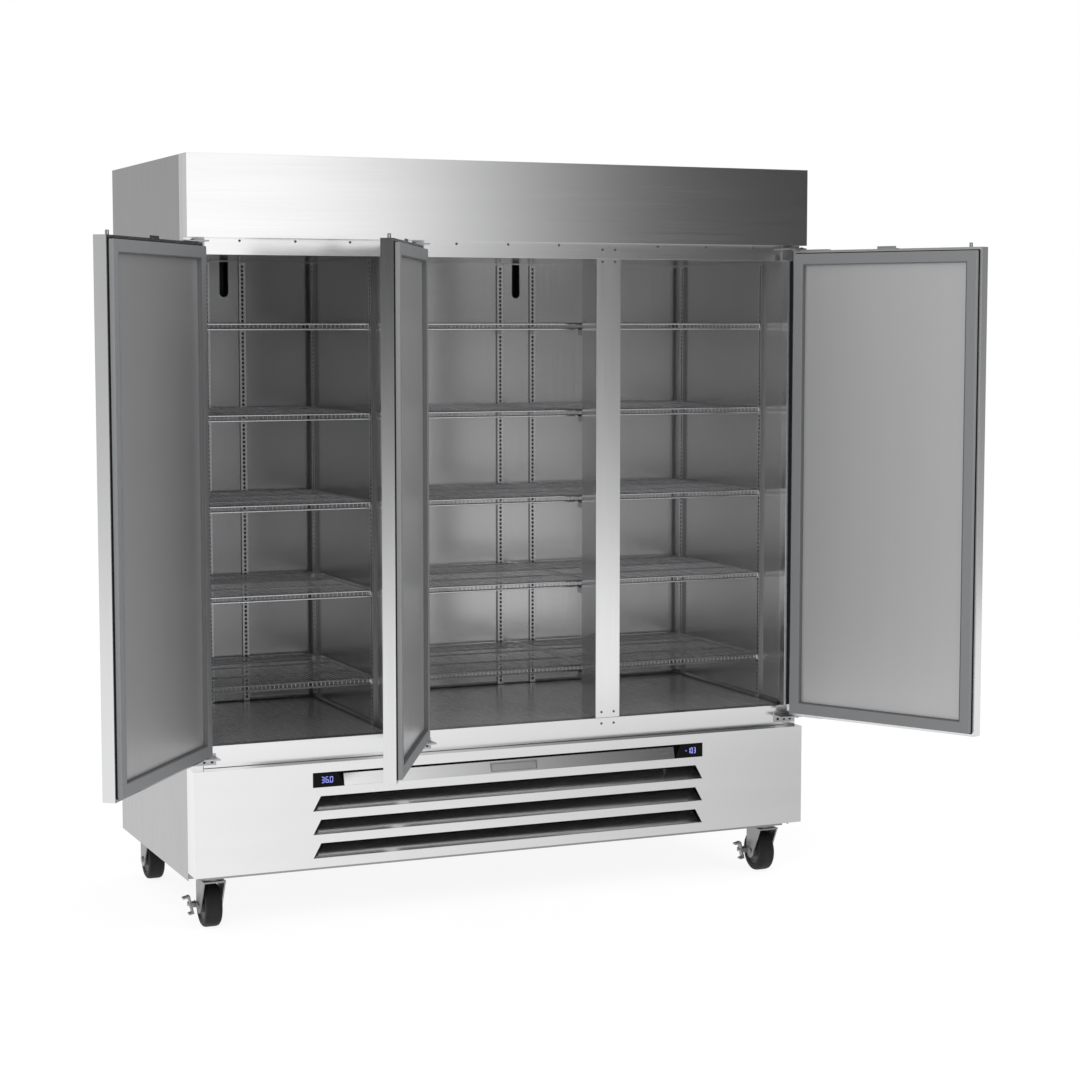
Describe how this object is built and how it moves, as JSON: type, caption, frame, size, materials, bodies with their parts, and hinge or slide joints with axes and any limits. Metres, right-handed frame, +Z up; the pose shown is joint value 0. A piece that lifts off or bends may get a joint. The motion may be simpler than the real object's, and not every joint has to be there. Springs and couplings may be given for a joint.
{
  "type": "reach-in refrigerator",
  "caption": "Upright stainless reach-in refrigerator on casters with hinged solid doors standing open, wire shelves inside and a louvred lower panel with displays.",
  "frame": {"origin": "floor level, under the centre of the footprint with the doors standing open", "axes": "+Z up, +X to the right seen from the front, +Y from the doors towards the back"},
  "size_m": [2.5534, 1.396, 2.1465],
  "materials": {
    "brushed_stainless": "satin",
    "liner_stainless": "satin",
    "foam": "matte",
    "hardware_steel": "polished",
    "shelf_wire": "satin",
    "display_black": "gloss",
    "gasket_grey": "matte",
    "zinc_steel": "satin",
    "black_rubber": "matte",
    "black_shell": "satin",
    "fin_aluminium": "satin",
    "fan_plastic": "matte"
  },
  "bodies": {
    "cabinet": {"side_skins": "brushed_stainless", "back_skin": "brushed_stainless", "top_skin": "brushed_stainless", "wall_insulation": "foam", "liner_left": "liner_stainless", "liner_right": "liner_stainless", "face_frame": "brushed_stainless", "mullions": "brushed_stainless", "frame_screws": "hardware_steel", "header_panel": "brushed_stainless", "lower_panel": "brushed_stainless", "name_plate": "hardware_steel", "displays": "display_black", "base_frame": "zinc_steel", "pilasters": "liner_stainless", "shelf_clips": "hardware_steel", "shelves_left": "shelf_wire", "shelves_middle": "shelf_wire", "shelves_right": "shelf_wire", "hinge_brackets": "hardware_steel", "caster_plates": "zinc_steel", "compressors": "black_shell", "condenser_coils": "fin_aluminium", "fan_motors": "zinc_steel", "evaporator_coils": "fin_aluminium"},
    "door_left": {"door_skin_left": "brushed_stainless", "door_core_left": "foam", "door_panel_left": "liner_stainless", "door_gasket_left": "gasket_grey", "door_hardware_left": "hardware_steel"},
    "door_middle": {"door_skin_middle": "brushed_stainless", "door_core_middle": "foam", "door_panel_middle": "liner_stainless", "door_gasket_middle": "gasket_grey", "door_hardware_middle": "hardware_steel"},
    "door_right": {"door_skin_right": "brushed_stainless", "door_core_right": "foam", "door_panel_right": "liner_stainless", "door_gasket_right": "gasket_grey", "door_hardware_right": "hardware_steel"},
    "lock_plug_left": {"lock_plug_left": "hardware_steel"},
    "lock_bolt_left": {"lock_bolt_left": "hardware_steel"},
    "lock_plug_middle": {"lock_plug_middle": "hardware_steel"},
    "lock_bolt_middle": {"lock_bolt_middle": "hardware_steel"},
    "lock_plug_right": {"lock_plug_right": "hardware_steel"},
    "lock_bolt_right": {"lock_bolt_right": "hardware_steel"},
    "caster_front_left": {"caster_fork_front_left": "zinc_steel"},
    "wheel_front_left": {"caster_wheel_front_left": "black_rubber"},
    "caster_front_right": {"caster_fork_front_right": "zinc_steel"},
    "wheel_front_right": {"caster_wheel_front_right": "black_rubber"},
    "caster_rear_left": {"caster_fork_rear_left": "zinc_steel"},
    "wheel_rear_left": {"caster_wheel_rear_left": "black_rubber"},
    "caster_rear_right": {"caster_fork_rear_right": "zinc_steel"},
    "wheel_rear_right": {"caster_wheel_rear_right": "black_rubber"},
    "brake_left": {"brake_lever_left": "zinc_steel"},
    "brake_right": {"brake_lever_right": "zinc_steel"},
    "condenser_fan_left": {"condenser_fan_left": "fan_plastic"},
    "evaporator_fan_left": {"evaporator_fan_left": "fan_plastic"},
    "condenser_fan_right": {"condenser_fan_right": "fan_plastic"},
    "evaporator_fan_right": {"evaporator_fan_right": "fan_plastic"}
  },
  "joints": [
    {"name": "door_left_hinge", "type": "hinge", "parent": "cabinet", "child": "door_left", "pos_m": [-0.89625, -0.14099, 1.2045], "axis": [0, 0, 1], "range_deg": [0, 127.2]},
    {"name": "door_middle_hinge", "type": "hinge", "parent": "cabinet", "child": "door_middle", "pos_m": [-0.26125, -0.14099, 1.2045], "axis": [0, 0, 1], "range_deg": [0, 117.61]},
    {"name": "door_right_hinge", "type": "hinge", "parent": "cabinet", "child": "door_right", "pos_m": [0.97675, -0.14099, 1.2045], "axis": [0, 0, -1], "range_deg": [0, 118.2]},
    {"name": "lock_left_turn", "type": "hinge", "parent": "door_left", "child": "lock_plug_left", "pos_m": [-1.24944, -0.58976, 1.837], "axis": [-0.7965, 0.6046, 0], "range_deg": [-52, 36]},
    {"name": "lock_left_bolt", "type": "slide", "parent": "door_left", "child": "lock_bolt_left", "axis": [0, 0, 1], "range_m": [-0.0131, 0.0091]},
    {"name": "lock_middle_turn", "type": "hinge", "parent": "door_middle", "child": "lock_plug_middle", "pos_m": [-0.53466, -0.64238, 1.837], "axis": [-0.8862, 0.4633, 0], "range_deg": [-52, 36]},
    {"name": "lock_middle_bolt", "type": "slide", "parent": "door_middle", "child": "lock_bolt_middle", "axis": [0, 0, 1], "range_m": [-0.0131, 0.0091]},
    {"name": "lock_right_turn", "type": "hinge", "parent": "door_right", "child": "lock_plug_right", "pos_m": [1.25539, -0.63949, 1.837], "axis": [0.8813, 0.4726, 0], "range_deg": [-52, 36]},
    {"name": "lock_right_bolt", "type": "slide", "parent": "door_right", "child": "lock_bolt_right", "axis": [0, 0, 1], "range_m": [-0.0131, 0.0091]},
    {"name": "caster_front_left_swivel", "type": "hinge", "parent": "cabinet", "child": "caster_front_left", "pos_m": [-0.83825, -0.03399, 0.146], "axis": [0, 0, 1], "continuous": true},
    {"name": "wheel_front_left_spin", "type": "hinge", "parent": "caster_front_left", "child": "wheel_front_left", "pos_m": [-0.83825, -0.01399, 0.061], "axis": [1, 0, 0], "continuous": true},
    {"name": "caster_front_right_swivel", "type": "hinge", "parent": "cabinet", "child": "caster_front_right", "pos_m": [0.91875, -0.03399, 0.146], "axis": [0, 0, 1], "continuous": true},
    {"name": "wheel_front_right_spin", "type": "hinge", "parent": "caster_front_right", "child": "wheel_front_right", "pos_m": [0.91875, -0.01399, 0.061], "axis": [1, 0, 0], "continuous": true},
    {"name": "caster_rear_left_swivel", "type": "hinge", "parent": "cabinet", "child": "caster_rear_left", "pos_m": [-0.83825, 0.60201, 0.146], "axis": [0, 0, 1], "continuous": true},
    {"name": "wheel_rear_left_spin", "type": "hinge", "parent": "caster_rear_left", "child": "wheel_rear_left", "pos_m": [-0.83825, 0.62201, 0.061], "axis": [1, 0, 0], "continuous": true},
    {"name": "caster_rear_right_swivel", "type": "hinge", "parent": "cabinet", "child": "caster_rear_right", "pos_m": [0.91875, 0.60201, 0.146], "axis": [0, 0, 1], "continuous": true},
    {"name": "wheel_rear_right_spin", "type": "hinge", "parent": "caster_rear_right", "child": "wheel_rear_right", "pos_m": [0.91875, 0.62201, 0.061], "axis": [1, 0, 0], "continuous": true},
    {"name": "brake_left_rock", "type": "hinge", "parent": "caster_front_left", "child": "brake_left", "pos_m": [-0.88325, 0.02101, 0.058], "axis": [0, 1, 0], "range_deg": [0, 30]},
    {"name": "brake_right_rock", "type": "hinge", "parent": "caster_front_right", "child": "brake_right", "pos_m": [0.87375, 0.02101, 0.058], "axis": [0, 1, 0], "range_deg": [0, 30]},
    {"name": "condenser_fan_left_spin", "type": "hinge", "parent": "cabinet", "child": "condenser_fan_left", "pos_m": [-0.28975, 0.02501, 0.283], "axis": [0, 1, 0], "continuous": true},
    {"name": "evaporator_fan_left_spin", "type": "hinge", "parent": "cabinet", "child": "evaporator_fan_left", "pos_m": [-0.595, 0.25451, 1.956], "axis": [0, 1, 0], "continuous": true},
    {"name": "condenser_fan_right_spin", "type": "hinge", "parent": "cabinet", "child": "condenser_fan_right", "pos_m": [0.37025, 0.02501, 0.283], "axis": [0, 1, 0], "continuous": true},
    {"name": "evaporator_fan_right_spin", "type": "hinge", "parent": "cabinet", "child": "evaporator_fan_right", "pos_m": [0.358, 0.25451, 1.956], "axis": [0, 1, 0], "continuous": true}
  ],
  "couplings": [
    {"joint": "door_middle_hinge", "follows": "door_left_hinge", "ratio": 0.92453},
    {"joint": "lock_left_bolt", "follows": "lock_left_turn", "m_per_rad": 0.014324},
    {"joint": "lock_middle_bolt", "follows": "lock_middle_turn", "m_per_rad": 0.014324},
    {"joint": "lock_right_bolt", "follows": "lock_right_turn", "m_per_rad": 0.014324}
  ]
}
